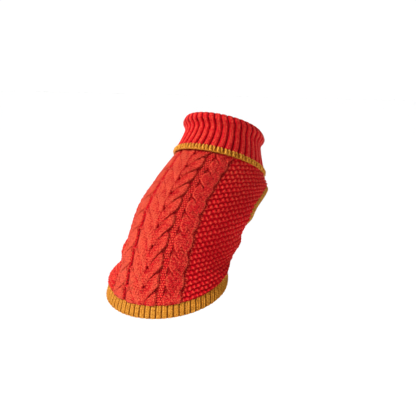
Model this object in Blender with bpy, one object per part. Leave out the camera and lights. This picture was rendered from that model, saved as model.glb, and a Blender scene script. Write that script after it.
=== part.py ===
"""Knitted roll-neck sweater for a small dog, in the form it has on a sitting wearer.

The wearer faces +Y and sits upright, +X is its right side and +Z is up. The origin is on
the inner face of the back panel at the withers, where the cloth hangs from the shoulders.

Every panel is a wall between two faces of one fitted tube. A place on the tube is an angle
round it (0 on the spine, 180 degrees on the belly) and a station, the distance down the
back from the neck seam.
"""
import bpy
import bmesh
import numpy as np

# ---- driving dimensions, in metres -------------------------------------------------

BACK_LENGTH = 0.220          # neck seam to the hem's lower edge, down the spine
WALL = 0.0024                # plain knitted cloth
SEAM_GAP = 0.0004            # between pieces that are sewn together

# Rings round the body. back and belly are the points of the ring on the spine and under
# the belly, and half_width is its reach to each side. All are on the cloth's outer face.
BODY_RINGS = (
    # station, back_y, back_z, belly_y, belly_z, half_width
    (0.000, 0.0107, 0.0149, 0.0930, -0.0230, 0.0428),    # neck seam
    (0.018, -0.0016, 0.0017, 0.1015, -0.0375, 0.0484),   # withers, under the collar edge
    (0.057, -0.0317, -0.0233, 0.0969, -0.0557, 0.0574),  # shoulders
    (0.101, -0.0623, -0.0546, 0.0605, -0.0686, 0.0603),  # ribcage
    (0.165, -0.0923, -0.1109, 0.0302, -0.0963, 0.0596),  # waist
    (0.220, -0.1069, -0.1634, -0.0058, -0.1150, 0.0717),  # hem, over the thighs
)

# The collar's face, from the turned-down edge up the outside, over the fold and down the
# neck side. way is only the order along it.
COLLAR_RINGS = (
    # way, back_y, back_z, belly_y, belly_z, half_width
    (0.00, -0.0050, 0.0078, 0.1068, -0.0388, 0.0510),    # turned-down edge
    (0.22, 0.0080, 0.0203, 0.1020, -0.0240, 0.0470),     # flare over the shoulders
    (0.42, 0.0166, 0.0312, 0.0992, -0.0060, 0.0444),     # narrowest
    (0.62, 0.0152, 0.0402, 0.1048, 0.0018, 0.0475),      # roll
    (0.72, 0.0190, 0.0456, 0.1008, 0.0104, 0.0436),      # top of the fold
    (0.80, 0.0242, 0.0436, 0.0950, 0.0106, 0.0390),      # inside lip
    (1.00, 0.0228, 0.0290, 0.0916, -0.0046, 0.0376),     # neck side of the stand
)
COLLAR_LAYER = 0.0026        # thickness of the turned-down layer under its rib tops
COLLAR_RIBS = 38
COLLAR_RIB_DEPTH = 0.0013
COLLAR_EDGE_WAY = 0.072      # way along the collar's face where the contrast edge ends
COLLAR_SEAM_WAY = 0.080      # and where the collar starts, one seam gap further up
# Rows of points over the collar's ribbed face and its plain inside, in order of way.
COLLAR_FACE_ROWS = (         # way, share of the rib grooves' depth
    (COLLAR_SEAM_WAY, 1.0), (0.24, 1.0), (0.42, 1.0), (0.54, 1.0), (0.63, 1.0), (0.72, 1.0),
    (0.80, 0.5), (1.00, 0.3),
)
COLLAR_INSIDE_ROWS = (       # way, depth under the face
    (COLLAR_SEAM_WAY, 0.0026), (0.24, 0.0026), (0.42, 0.0026), (0.56, 0.0026),
    (0.70, 0.0023), (1.00, 0.0024),
)

HEM_HEIGHT = 0.0138          # on the spine
HEM_BELLY_HEIGHT = 0.0095    # under the belly, where the rib is drawn up
HEM_RIBS = 66
HEM_RIB_DEPTH = 0.0010
HEM_WALL = 0.0026

LEG_HOLE_TOP = 0.030         # stations of the two ends of a leg hole
LEG_HOLE_END = 0.136
LEG_HOLE_BACK_ANGLE = 106.0  # degrees, rear edge at its widest
LEG_HOLE_FRONT_ANGLE = 152.0
SIDE_SEAM_ANGLE = 131.0
LEG_HOLE_BLUNTNESS = 0.62    # 0.5 gives a true ellipse, 1 a pointed lens
LEG_BAND_WIDTH = 0.0062
LEG_BAND_THICKNESS = 0.0034
LEG_BAND_FLARE = 39.0        # degrees the band turns outwards from the cloth
LEG_BAND_SIDES = 6

# Cables on the back, by distance from the spine on the cloth's face. In each one the head
# of a strand comes up at one edge, runs straight down and sweeps in over the next head.
CABLE_PITCH = 0.0206
FIRST_HEAD = 0.0007          # station of a head's top
CABLES = (
    # name, inner_edge, outer_edge, heads_side, full_height
    ("horseshoe half", 0.0, 0.0187, +1, 0.0033),    # heads away from the spine
    ("side rope", 0.0250, 0.0446, -1, 0.0027),      # heads towards the spine
)
SWEEP_FROM = 0.0125          # distance below its head where a strand begins to sweep in
SWEEP_LENGTH = 0.0160
SWEEP_SHARE = 0.5            # share of the cable's width that it sweeps across
STRAND_ROLL = 0.0036         # radius of a strand's rounded edges
HEAD_PEAK = 0.8              # share of the cable's width at which a head's top is highest
HEAD_PEAK_HALF_WIDTH = 0.3   # of the cable's width, where the top is one bulge lower
HEAD_BULGE = 0.0016
CREASE_SHARE = 0.42          # height lost in the crease where a head comes up
CREASE_WIDTH = 0.0028
CREASE_LENGTH = 0.0085
PRESSED_UNDER_COLLAR = 0.3   # share of a cable's height left at the neck seam
COLLAR_COVERS_TO = 0.024     # station where the cables are free of the collar

# Folds of the worn cloth: a soft ridge (+) or trough (-) across the angle range.
FOLDS = (
    # name, from_angle, to_angle, from_station, to_station, half_width, depth
    ("left waist roll", -22.0, -112.0, 0.158, 0.153, 0.0090, 0.0030),
    ("left waist crease", -26.0, -116.0, 0.177, 0.172, 0.0070, -0.0018),
    ("left thigh swell", -36.0, -128.0, 0.196, 0.197, 0.0130, 0.0046),
    ("right shoulder swell", 84.0, 160.0, 0.040, 0.036, 0.0150, 0.0022),
    ("left shoulder swell", -84.0, -160.0, 0.040, 0.036, 0.0150, 0.0020),
    ("right rib swell", 72.0, 158.0, 0.100, 0.112, 0.0230, 0.0034),
    ("left rib swell", -78.0, -158.0, 0.104, 0.116, 0.0220, 0.0026),
    ("right waist roll", 70.0, 156.0, 0.152, 0.160, 0.0120, 0.0032),
    ("right flank crease", 64.0, 134.0, 0.171, 0.184, 0.0080, -0.0016),
    ("right flank pull", 56.0, 112.0, 0.184, 0.197, 0.0070, 0.0018),
    ("right flank notch", 84.0, 144.0, 0.203, 0.203, 0.0080, -0.0022),
    ("belly fold", 138.0, 214.0, 0.160, 0.163, 0.0100, -0.0026),
    ("chest fold", 150.0, 222.0, 0.040, 0.034, 0.0090, -0.0014),
)

# ---- grid sizes ----------------------------------------------------------------------

# Rows of points lie at the same distances below each head's top, so that every head gets
# the same form. The leg holes begin and end on such rows.
ROWS_BELOW_HEAD = (-0.0004, 0.0018, 0.0052, 0.0087, 0.0117, 0.0158)
FIRST_ROW = 0.0030           # no such row lies closer to the neck seam
STRETCH_FROM = 0.1861        # below here the rows are spread to end on the hem seam
LAST_ROWS = (0.1879, 0.1900, 0.1921, 0.1948, 0.1978, 0.2019)    # their stations on the spine
# Strips of faces across the cables, the channel between them and each side of the panel.
CABLE_STRIPS = {"horseshoe half": 8, "channel": 2, "side rope": 9}
SIDE_STRIPS = 9
SIDE_STRIPS_CROWD = 1.4      # over 1 crowds them towards the side seam
BELLY_STRIPS = 14
CORE_ROW_STEP = 4            # the inside face takes one row in four
CORE_COLUMN_STEP = 2         # and one column in two
CORE_INSET = 0.35            # of one coarse cell, from the panel's edge
POINTS_PER_RIB = 4
ARC_SAMPLES = 361
SLOPE_STEP = 1e-3            # radians, or share of all the rings, for slopes of the face
STEEP_FROM = 0.30            # cosine between ring plane and face normal where a wall's
STEEP_FULL = 0.65            # thickness begins to follow the ring, and where it does fully

COLOURS = {
    "red": (0.62, 0.022, 0.012),
    "mustard": (0.66, 0.31, 0.028),
}
KNIT_ROUGHNESS = 0.9
SHARP_EDGE_ANGLE = 50.0      # degrees between faces, over which an edge is shaded sharp


# ---- smooth curves through the rings --------------------------------------------------

def smooth_through(knots, values, x):
    """Cubic curve through the knots whose slope at each one is set by its neighbours."""
    knots = np.asarray(knots, dtype=float)
    values = np.asarray(values, dtype=float)
    chords = np.diff(values) / np.diff(knots)
    slopes = np.empty_like(values)
    slopes[1:-1] = (values[2:] - values[:-2]) / (knots[2:] - knots[:-2])
    slopes[0] = 1.5 * chords[0] - 0.5 * slopes[1]
    slopes[-1] = 1.5 * chords[-1] - 0.5 * slopes[-2]
    x = np.asarray(x, dtype=float)
    i = np.clip(np.searchsorted(knots, x) - 1, 0, len(knots) - 2)
    span = knots[i + 1] - knots[i]
    t = (x - knots[i]) / span
    return ((2 * t**3 - 3 * t**2 + 1) * values[i]
            + (t**3 - 2 * t**2 + t) * span * slopes[i]
            + (3 * t**2 - 2 * t**3) * values[i + 1]
            + (t**3 - t**2) * span * slopes[i + 1])


def ring_sizes(rings, way):
    """Back and belly points and half width of the ring at a place along the rings."""
    knots = [ring[0] for ring in rings]
    return [smooth_through(knots, [ring[k] for ring in rings], way) for k in range(1, 6)]


def ring_point(rings, angle, way):
    """Point at an angle (radians) on the ring that lies at a place along the rings."""
    back_y, back_z, belly_y, belly_z, half_width = ring_sizes(rings, way)
    swing = np.cos(angle)
    x = half_width * np.sin(angle)
    y = (back_y + belly_y) / 2 + (back_y - belly_y) / 2 * swing
    z = (back_z + belly_z) / 2 + (back_z - belly_z) / 2 * swing
    return np.stack(np.broadcast_arrays(x, y, z), axis=-1)


def unit(vectors):
    return vectors / np.linalg.norm(vectors, axis=-1, keepdims=True)


def ring_slopes(rings, angle, way):
    """How the smooth face runs along the rings and round them, per unit way and radian."""
    turn = SLOPE_STEP
    step = SLOPE_STEP * (rings[-1][0] - rings[0][0])
    low = np.maximum(way - step, rings[0][0])
    high = np.minimum(way + step, rings[-1][0])
    around = ring_point(rings, angle + turn, way) - ring_point(rings, angle - turn, way)
    along = ring_point(rings, angle, high) - ring_point(rings, angle, low)
    return along / (high - low)[..., None], around / (2 * turn)


def ring_normal(rings, angle, way):
    """Outward direction of the smooth face through the rings."""
    along, around = ring_slopes(rings, angle, np.asarray(way, dtype=float))
    return unit(np.cross(along, around))


def square_rate(slope, line):
    """Length of a slope measured square to the direction of a line on the same face."""
    direction = unit(line)
    across = slope - np.sum(slope * direction, axis=-1, keepdims=True) * direction
    return np.linalg.norm(across, axis=-1)


def ring_lift(rings, angle, way):
    """Step that moves the smooth face outwards by one unit, in the ring's own plane.

    Walls are given their thickness along it, so that the end of a wall is as flat as the
    ring it ends on, and two pieces sewn together there meet evenly. Where the face runs
    close to the ring's plane the step turns to the face's normal.
    """
    back_y, back_z, belly_y, belly_z, half_width = ring_sizes(rings, way)
    depth_y = (back_y - belly_y) / 2
    depth_z = (back_z - belly_z) / 2
    half_depth = np.hypot(depth_y, depth_z)
    across = half_depth * np.sin(angle)
    backwards = half_width * np.cos(angle) / half_depth
    in_plane = unit(np.stack([across, backwards * depth_y, backwards * depth_z], axis=-1))
    normal = ring_normal(rings, angle, way)
    facing = np.sum(in_plane * normal, axis=-1, keepdims=True)
    steep = np.clip((facing - STEEP_FROM) / (STEEP_FULL - STEEP_FROM), 0, 1)
    step = unit(normal + (in_plane - normal) * steep)
    return step / np.sum(step * normal, axis=-1, keepdims=True)


# ---- the cloth of the body ------------------------------------------------------------

def fold_height(angle, station):
    """How far the folds lift the cloth off the smooth tube."""
    lift = np.zeros(np.broadcast(angle, station).shape)
    degrees = np.degrees(angle)
    for _, angle_a, angle_b, station_a, station_b, half_width, depth in FOLDS:
        for turn in (-360.0, 0.0, 360.0):
            share = (degrees + turn - angle_a) / (angle_b - angle_a)
            line = station_a + (station_b - station_a) * share
            inside = np.clip(1 - (2 * share - 1) ** 2, 0, None)
            lift += depth * inside**1.5 * np.exp(-((station - line) / half_width) ** 2)
    return lift


def body_face(angle, station):
    """Plain outer face of the body's cloth with its folds, and its outward lift."""
    angle, station = np.broadcast_arrays(angle, station)
    lift = ring_lift(BODY_RINGS, angle, station)
    point = ring_point(BODY_RINGS, angle, station)
    return point + lift * fold_height(angle, station)[..., None], lift


def arc_table(station):
    """Angles round one ring and the distance of each from the spine."""
    angles = np.linspace(0, np.pi, ARC_SAMPLES)
    points = ring_point(BODY_RINGS, angles, np.full(ARC_SAMPLES, station))
    steps = np.linalg.norm(np.diff(points, axis=0), axis=1)
    return angles, np.concatenate([[0.0], np.cumsum(steps)])


def angle_at_distance(distance, station):
    """Angle of a point at a signed distance from the spine, measured round the ring."""
    angles, arcs = arc_table(station)
    return np.sign(distance) * np.interp(np.abs(distance), arcs, angles)


def station_rate(angle, station):
    """Distance between two rings for each unit of station, square to the rings."""
    angle, station = np.broadcast_arrays(angle, np.asarray(station, dtype=float))
    along, around = ring_slopes(BODY_RINGS, angle, station)
    return square_rate(along, around)


def hem_station(angle):
    """Station where the body's cloth meets the hem rib."""
    to_belly = (1 - np.cos(angle)) / 2
    height = HEM_HEIGHT + (HEM_BELLY_HEIGHT - HEM_HEIGHT) * to_belly
    return BACK_LENGTH - height / station_rate(angle, BACK_LENGTH - HEM_HEIGHT)


# ---- cables ---------------------------------------------------------------------------

def rounded(inside):
    """Height of a rounded edge, 0 to 1, at a distance inside it."""
    return np.sqrt(1 - (1 - np.clip(inside / STRAND_ROLL, 0, 1)) ** 2)


def strand_edge(below_head, width):
    """Where a strand's outer edge lies across its cable, at a distance below its head."""
    share = np.clip((below_head - SWEEP_FROM) / SWEEP_LENGTH, 0, 1)
    eased = share * share * (3 - 2 * share)
    return width * (1 - SWEEP_SHARE * eased)


def cable_relief(across, down, width):
    """Relief of a cable, 0 to 1. across runs from its smooth side to the heads' side."""
    below_head = (down - FIRST_HEAD) % CABLE_PITCH
    from_over = across - strand_edge(below_head + CABLE_PITCH, width)
    from_head = across - strand_edge(below_head, width)
    in_crease = np.exp(-(np.maximum(from_over, 0) / CREASE_WIDTH) ** 2)
    in_crease = in_crease * np.clip(1 - below_head / CREASE_LENGTH, 0, 1)
    from_peak = np.clip(across / width, HEAD_PEAK - HEAD_PEAK_HALF_WIDTH, 1) - HEAD_PEAK
    head_top = HEAD_BULGE * (from_peak / HEAD_PEAK_HALF_WIDTH) ** 2
    head = rounded(-from_head) * rounded(below_head - head_top) * (1 - CREASE_SHARE * in_crease)
    return np.maximum(head, rounded(-from_over))


def cable_height(distance, station):
    """Height of the cables over the plain face, by distance from the spine."""
    from_spine = np.abs(distance)
    height = np.zeros(np.broadcast(distance, station).shape)
    for _, inner_edge, outer_edge, heads_side, full_height in CABLES:
        width = outer_edge - inner_edge
        across = from_spine - inner_edge if heads_side > 0 else outer_edge - from_spine
        relief = cable_relief(np.clip(across, 0, width), station, width)
        if inner_edge > 0:
            relief = relief * rounded(np.clip(across, 0, width))
        on_cable = (across >= 0) & (across <= width)
        height += np.where(on_cable, full_height * relief, 0.0)
    free = np.clip(station / COLLAR_COVERS_TO, 0, 1)
    pressed = PRESSED_UNDER_COLLAR + (1 - PRESSED_UNDER_COLLAR) * free
    return height * pressed


# ---- edges of the panels --------------------------------------------------------------

def hole_share(station):
    """How far the leg hole is open at a station, 0 at its two ends and 1 in the middle."""
    middle = (LEG_HOLE_TOP + LEG_HOLE_END) / 2
    reach = (LEG_HOLE_END - LEG_HOLE_TOP) / 2
    return np.clip(1 - ((station - middle) / reach) ** 2, 0, 1) ** LEG_HOLE_BLUNTNESS


def seam_half_angle(station):
    """Half the gap of the side seam, as an angle on the ring."""
    station = np.asarray(station, dtype=float)
    seam = np.full(station.shape, np.radians(SIDE_SEAM_ANGLE))
    along, around = ring_slopes(BODY_RINGS, seam, station)
    return SEAM_GAP / 2 / square_rate(around, along)


def back_edge_angle(station):
    swing = np.radians(SIDE_SEAM_ANGLE - LEG_HOLE_BACK_ANGLE) * hole_share(station)
    return np.radians(SIDE_SEAM_ANGLE) - swing - seam_half_angle(station)


def belly_edge_angle(station):
    swing = np.radians(LEG_HOLE_FRONT_ANGLE - SIDE_SEAM_ANGLE) * hole_share(station)
    return np.radians(SIDE_SEAM_ANGLE) + swing + seam_half_angle(station)


def row_stations():
    """Stations of the rows down a panel, with a row at each end of the leg hole."""
    heads = np.arange(FIRST_HEAD, BACK_LENGTH, CABLE_PITCH)
    rows = (heads[:, None] + np.array(ROWS_BELOW_HEAD)).ravel().round(6)
    rows = rows[(rows > FIRST_ROW) & (rows < STRETCH_FROM)]
    seam_end = hem_station(np.radians(SIDE_SEAM_ANGLE))
    spine_end = hem_station(0.0)
    spread = (np.array([*LAST_ROWS, spine_end]) - STRETCH_FROM) / (spine_end - STRETCH_FROM)
    return np.concatenate([[0.0], rows, STRETCH_FROM + (seam_end - STRETCH_FROM) * spread])


def stretch_to_hem(stations, angle):
    """Stations of a column, stretched at its lower end to reach the hem seam."""
    seam_end = hem_station(np.radians(SIDE_SEAM_ANGLE))
    below = np.clip((stations - STRETCH_FROM) / (seam_end - STRETCH_FROM), 0, 1)
    return stations + (hem_station(angle) - seam_end) * below


# ---- building solids ------------------------------------------------------------------

def add_grid_faces(mesh, verts, wraps):
    """Quads over a grid of vertices. wraps closes it round its second index."""
    rows = len(verts)
    columns = len(verts[0])
    for r in range(rows - 1):
        for c in range(columns if wraps else columns - 1):
            d = (c + 1) % columns
            mesh.faces.new((verts[r][c], verts[r + 1][c], verts[r + 1][d], verts[r][d]))


def add_fan_strip(mesh, fine, coarse, step):
    """Triangles between a closed loop and one with step times fewer vertices."""
    count = len(fine)
    for m, near in enumerate(coarse):
        far = coarse[(m + 1) % len(coarse)]
        first = m * step
        for k in range(step):
            pivot = near if k < step / 2 else far
            mesh.faces.new((fine[(first + k) % count], fine[(first + k + 1) % count], pivot))
            if k == (step - 1) // 2:
                mesh.faces.new((fine[(first + k + 1) % count], far, near))


def add_rim(mesh, outer_loop, inner_loop):
    """Triangles round a wall's edge, split so that a turning edge never bulges.

    Each pair is split from the outer corner nearer the back, on both sides of the body.
    """
    for k, outer in enumerate(outer_loop):
        inner = inner_loop[k]
        after = (k + 1) % len(outer_loop)
        outer_next, inner_next = outer_loop[after], inner_loop[after]
        if outer.co.y < outer_next.co.y:
            mesh.faces.new((outer, outer_next, inner_next))
            mesh.faces.new((outer, inner_next, inner))
        else:
            mesh.faces.new((outer, outer_next, inner))
            mesh.faces.new((outer_next, inner_next, inner))


def perimeter(verts):
    """Vertices round the edge of a grid, in order."""
    top = list(verts[0])
    right = [row[-1] for row in verts[1:]]
    bottom = list(verts[-1][-2::-1])
    left = [row[0] for row in verts[-2:0:-1]]
    return top + right + bottom + left


def new_verts(mesh, grid):
    return [[mesh.verts.new(point) for point in row] for row in grid]


def panel_solid(mesh, outer, inner, core, steps):
    """Closed wall of a panel: fine outer face, its rim, and a coarse inside face.

    outer and inner are grids of the same shape, of which only inner's edge is used. core is
    the coarse grid of the inside face, with steps rows and columns skipped.
    """
    outer_verts = new_verts(mesh, outer)
    core_verts = new_verts(mesh, core)
    add_grid_faces(mesh, outer_verts, False)
    add_grid_faces(mesh, core_verts, False)
    outer_loop = perimeter(outer_verts)
    inner_loop = [mesh.verts.new(point) for point in perimeter(inner.tolist())]
    add_rim(mesh, outer_loop, inner_loop)
    fan_panel_inside(mesh, inner_loop, core_verts, steps)


def fan_panel_inside(mesh, inner_loop, core_verts, steps):
    """Triangles from the fine edge of the inside face to its coarse grid."""
    row_step, column_step = steps
    core_loop = perimeter(core_verts)
    core_rows = len(core_verts) - 1
    core_columns = len(core_verts[0]) - 1
    sides = ([column_step] * core_columns + [row_step] * core_rows) * 2
    count = len(inner_loop)
    first = 0
    for m, step in enumerate(sides):
        near = core_loop[m]
        far = core_loop[(m + 1) % len(core_loop)]
        for k in range(step):
            pivot = near if k < step / 2 else far
            mesh.faces.new((inner_loop[(first + k) % count],
                            inner_loop[(first + k + 1) % count], pivot))
            if k == (step - 1) // 2:
                mesh.faces.new((inner_loop[(first + k + 1) % count], far, near))
        first += step


def tube_solid(mesh, outer, inner, step):
    """Closed wall of a ring: fine ribbed face, coarse plain face, both ends closed."""
    outer_verts = new_verts(mesh, outer)
    inner_verts = new_verts(mesh, inner)
    add_grid_faces(mesh, outer_verts, True)
    add_grid_faces(mesh, inner_verts, True)
    add_fan_strip(mesh, outer_verts[0], inner_verts[0], step)
    add_fan_strip(mesh, outer_verts[-1], inner_verts[-1], step)


def ring_of_sections(mesh, sections):
    """Closed ring from a loop of equal sections."""
    verts = new_verts(mesh, sections)
    verts.append(verts[0])
    add_grid_faces(mesh, verts, True)


def finish_object(name, mesh, material):
    """Turn a bmesh into a named object with its material and outward faces."""
    bmesh.ops.recalc_face_normals(mesh, faces=mesh.faces[:])
    data = bpy.data.meshes.new(name)
    mesh.to_mesh(data)
    mesh.free()
    data.shade_smooth()
    data.set_sharp_from_angle(angle=np.radians(SHARP_EDGE_ANGLE))
    data.materials.append(material)
    node = bpy.data.objects.new(name, data)
    bpy.context.scene.collection.objects.link(node)
    return node


def knit_material(name, colour):
    material = bpy.data.materials.new(name)
    material.use_nodes = True
    shader = material.node_tree.nodes["Principled BSDF"]
    shader.inputs["Base Color"].default_value = (*colour, 1.0)
    shader.inputs["Roughness"].default_value = KNIT_ROUGHNESS
    shader.inputs["Metallic"].default_value = 0.0
    material.diffuse_color = (*colour, 1.0)
    return material


def inset_shares(count):
    """Even shares from 0 to 1, with both ends pulled in by part of a step."""
    shares = np.linspace(0, 1, count + 1)
    pull = CORE_INSET / count
    shares[0] = pull
    shares[-1] = 1 - pull
    return shares


# ---- the pieces -----------------------------------------------------------------------

def cable_zone_distances():
    """Distances from the spine of the columns over one half of the cables."""
    horseshoe, rope = CABLES
    over_horseshoe = np.linspace(horseshoe[1], horseshoe[2], CABLE_STRIPS["horseshoe half"] + 1)
    over_channel = np.linspace(horseshoe[2], rope[1], CABLE_STRIPS["channel"] + 1)
    over_rope = np.linspace(rope[1], rope[2], CABLE_STRIPS["side rope"] + 1)
    return np.concatenate([over_horseshoe, over_channel[1:], over_rope[1:]])


def back_panel_row(station, zone):
    """Angles and spine distances of one row of the back panel, from left to right."""
    angles, arcs = arc_table(station)
    edge = back_edge_angle(station)
    edge_distance = np.interp(edge, angles, arcs)
    shares = 1 - np.linspace(1, 0, SIDE_STRIPS + 1)[1:] ** SIDE_STRIPS_CROWD
    side = zone[-1] + (edge_distance - zone[-1]) * shares
    right = np.concatenate([zone, side])
    distances = np.concatenate([-right[:0:-1], right])
    return angle_at_distance(distances, station), distances


def back_panel(material):
    """Back and sides as far as the side seams, with the cables raised on its face."""
    zone = cable_zone_distances()
    stations = row_stations()
    angle_rows, distance_rows = zip(*(back_panel_row(s, zone) for s in stations))
    angles = np.array(angle_rows)
    distances = np.array(distance_rows)
    station_grid = stretch_to_hem(stations[:, None], angles)
    face, lift = body_face(angles, station_grid)
    outer = face + lift * cable_height(distances, station_grid)[..., None]
    inner = face - lift * WALL
    mesh = bmesh.new()
    core = core_grid(angles, station_grid, CORE_ROW_STEP, CORE_COLUMN_STEP)
    panel_solid(mesh, outer, inner, core, (CORE_ROW_STEP, CORE_COLUMN_STEP))
    return finish_object("back_panel", mesh, material)


def core_grid(angles, stations, row_step, column_step):
    """Coarse inside face of a panel, pulled in from the panel's edge."""
    rows = (len(angles) - 1) * inset_shares((len(angles) - 1) // row_step)
    columns = (len(angles[0]) - 1) * inset_shares((len(angles[0]) - 1) // column_step)
    core_angles = sample_grid(angles, rows, columns)
    core_stations = sample_grid(stations, rows, columns)
    face, lift = body_face(core_angles, core_stations)
    return face - lift * WALL


def sample_grid(grid, rows, columns):
    """Values of a grid at fractional rows and columns."""
    by_row = np.array([np.interp(columns, np.arange(grid.shape[1]), row) for row in grid])
    return np.array([np.interp(rows, np.arange(grid.shape[0]), column)
                     for column in by_row.T]).T


def belly_panel(material):
    """Plain strip under the chest and belly, between the two side seams."""
    stations = row_stations()
    edges = belly_edge_angle(stations)
    shares = np.linspace(0, 1, BELLY_STRIPS + 1)
    angles = edges[:, None] + (2 * np.pi - 2 * edges[:, None]) * shares
    station_grid = stretch_to_hem(stations[:, None], angles)
    outer, lift = body_face(angles, station_grid)
    inner = outer - lift * WALL
    mesh = bmesh.new()
    core = core_grid(angles, station_grid, CORE_ROW_STEP, CORE_COLUMN_STEP)
    panel_solid(mesh, outer, inner, core, (CORE_ROW_STEP, CORE_COLUMN_STEP))
    return finish_object("belly_panel", mesh, material)


def rib_angles(ribs, per_rib):
    return np.linspace(0, 2 * np.pi, ribs * per_rib, endpoint=False)


def rib_groove(angles, ribs):
    """1 in the bottom of a groove between two ribs and 0 on top of a rib."""
    phase = (angles * ribs / (2 * np.pi)) % 1.0
    return np.clip(np.abs(phase - 0.5) * 4 - 1, 0, 1)


def hem_seam_angles():
    """Angles of the columns that end on the hem seam, once round both panels."""
    lowest = row_stations()[-1]
    back_angles, _ = back_panel_row(lowest, cable_zone_distances())
    edge = belly_edge_angle(lowest)
    belly_angles = np.linspace(edge, 2 * np.pi - edge, BELLY_STRIPS + 1)
    return np.concatenate([back_angles, belly_angles])


def hem_seam_ring(angles, depth):
    """Top ring of the hem, on the straight stretches between the panels' columns."""
    columns = hem_seam_angles()
    seam = hem_station(columns)
    face, lift = body_face(columns, seam + SEAM_GAP / station_rate(columns, seam))
    points = face - lift * depth
    return np.stack([np.interp(angles, columns, points[:, k], period=2 * np.pi)
                     for k in range(3)], axis=-1)


def hem_lower_ring(angles, depth):
    face, lift = body_face(angles, BACK_LENGTH)
    return face - lift * np.atleast_1d(depth)[:, None]


def hem_rib(material):
    """Contrast rib round the lower edge."""
    fine = rib_angles(HEM_RIBS, POINTS_PER_RIB)
    coarse = rib_angles(HEM_RIBS, 1)
    groove = HEM_RIB_DEPTH * rib_groove(fine, HEM_RIBS)
    top = hem_seam_ring(fine, 0.0)
    top_groove = hem_seam_ring(fine, HEM_RIB_DEPTH)
    sunk = rib_groove(fine, HEM_RIBS)[:, None]
    outer = [top + (top_groove - top) * sunk, hem_lower_ring(fine, groove)]
    inner = [hem_seam_ring(coarse, WALL), hem_lower_ring(coarse, HEM_WALL)]
    mesh = bmesh.new()
    tube_solid(mesh, outer, inner, POINTS_PER_RIB)
    return finish_object("hem_rib", mesh, material)


def collar_face(angles, way, depth):
    """Ring of points on the collar's face, sunk by a depth."""
    places = np.full(angles.shape, way)
    face = ring_point(COLLAR_RINGS, angles, places)
    normal = ring_normal(COLLAR_RINGS, angles, places)
    return face + normal * np.atleast_1d(depth)[:, None]


def stand_foot(angles, depth):
    """Ring where the collar's stand is sewn to the neck edge of the body."""
    stations = np.zeros(angles.shape)
    face, lift = body_face(angles, stations)
    down, _ = ring_slopes(BODY_RINGS, angles, stations)
    upwards = -unit(down)
    return face - lift * depth + upwards * SEAM_GAP


def collar(material):
    """Rib roll neck: a stand sewn to the neck edge, folded over and turned down."""
    fine = rib_angles(COLLAR_RIBS, POINTS_PER_RIB)
    coarse = rib_angles(COLLAR_RIBS, 1)
    groove = COLLAR_RIB_DEPTH * rib_groove(fine, COLLAR_RIBS)
    outer = [collar_face(fine, way, groove * share) for way, share in COLLAR_FACE_ROWS]
    outer.append(stand_foot(fine, WALL))
    inner = [collar_face(coarse, way, depth) for way, depth in COLLAR_INSIDE_ROWS]
    inner.append(stand_foot(coarse, 0.0))
    mesh = bmesh.new()
    tube_solid(mesh, outer, inner, POINTS_PER_RIB)
    return finish_object("collar", mesh, material)


def collar_edge(material):
    """Contrast rows along the turned-down edge of the collar."""
    fine = rib_angles(COLLAR_RIBS, POINTS_PER_RIB)
    coarse = rib_angles(COLLAR_RIBS, 1)
    groove = COLLAR_RIB_DEPTH * rib_groove(fine, COLLAR_RIBS)
    mesh = bmesh.new()
    outer = [collar_face(fine, way, groove) for way in (0.0, COLLAR_EDGE_WAY)]
    inner = [collar_face(coarse, way, COLLAR_LAYER) for way in (0.0, COLLAR_EDGE_WAY)]
    tube_solid(mesh, outer, inner, POINTS_PER_RIB)
    return finish_object("collar_edge", mesh, material)


def leg_band(name, side, material):
    """Contrast band round a leg hole, on the same rows as the panels' edges."""
    stations = row_stations()
    stations = stations[(stations >= LEG_HOLE_TOP) & (stations <= LEG_HOLE_END)]
    rear = back_edge_angle(stations)
    front = belly_edge_angle(stations)
    angles = side * np.concatenate([rear, front[::-1]])
    loop_stations = np.concatenate([stations, stations[::-1]])
    face, lift = body_face(angles, loop_stations)
    outwards = unit(lift)
    along = unit(np.roll(face, -1, axis=0) - np.roll(face, 1, axis=0))
    inwards = unit(np.cross(outwards, along)) * side
    flare = np.radians(LEG_BAND_FLARE)
    width_way = inwards * np.cos(flare) + outwards * np.sin(flare)
    thick_way = unit(np.cross(along, width_way)) * side
    foot = face - lift * WALL / 2 + inwards * SEAM_GAP
    middle = foot + width_way * LEG_BAND_WIDTH / 2
    sections = []
    for turn in np.linspace(0, 2 * np.pi, LEG_BAND_SIDES, endpoint=False):
        reach = LEG_BAND_WIDTH / 2 * np.cos(turn)
        rise = LEG_BAND_THICKNESS / 2 * np.sin(turn)
        sections.append(middle + width_way * reach + thick_way * rise)
    mesh = bmesh.new()
    ring_of_sections(mesh, np.array(sections).transpose(1, 0, 2))
    return finish_object(name, mesh, material)


def main():
    for old in list(bpy.data.objects):
        bpy.data.objects.remove(old, do_unlink=True)
    red = knit_material("red_knit", COLOURS["red"])
    mustard = knit_material("mustard_knit", COLOURS["mustard"])
    back_panel(red)
    belly_panel(red)
    collar(red)
    collar_edge(mustard)
    hem_rib(mustard)
    leg_band("leg_band_right", 1, mustard)
    leg_band("leg_band_left", -1, mustard)


main()
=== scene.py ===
import math

import bmesh
import bpy
import numpy as np
from mathutils import Matrix, Vector


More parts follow.
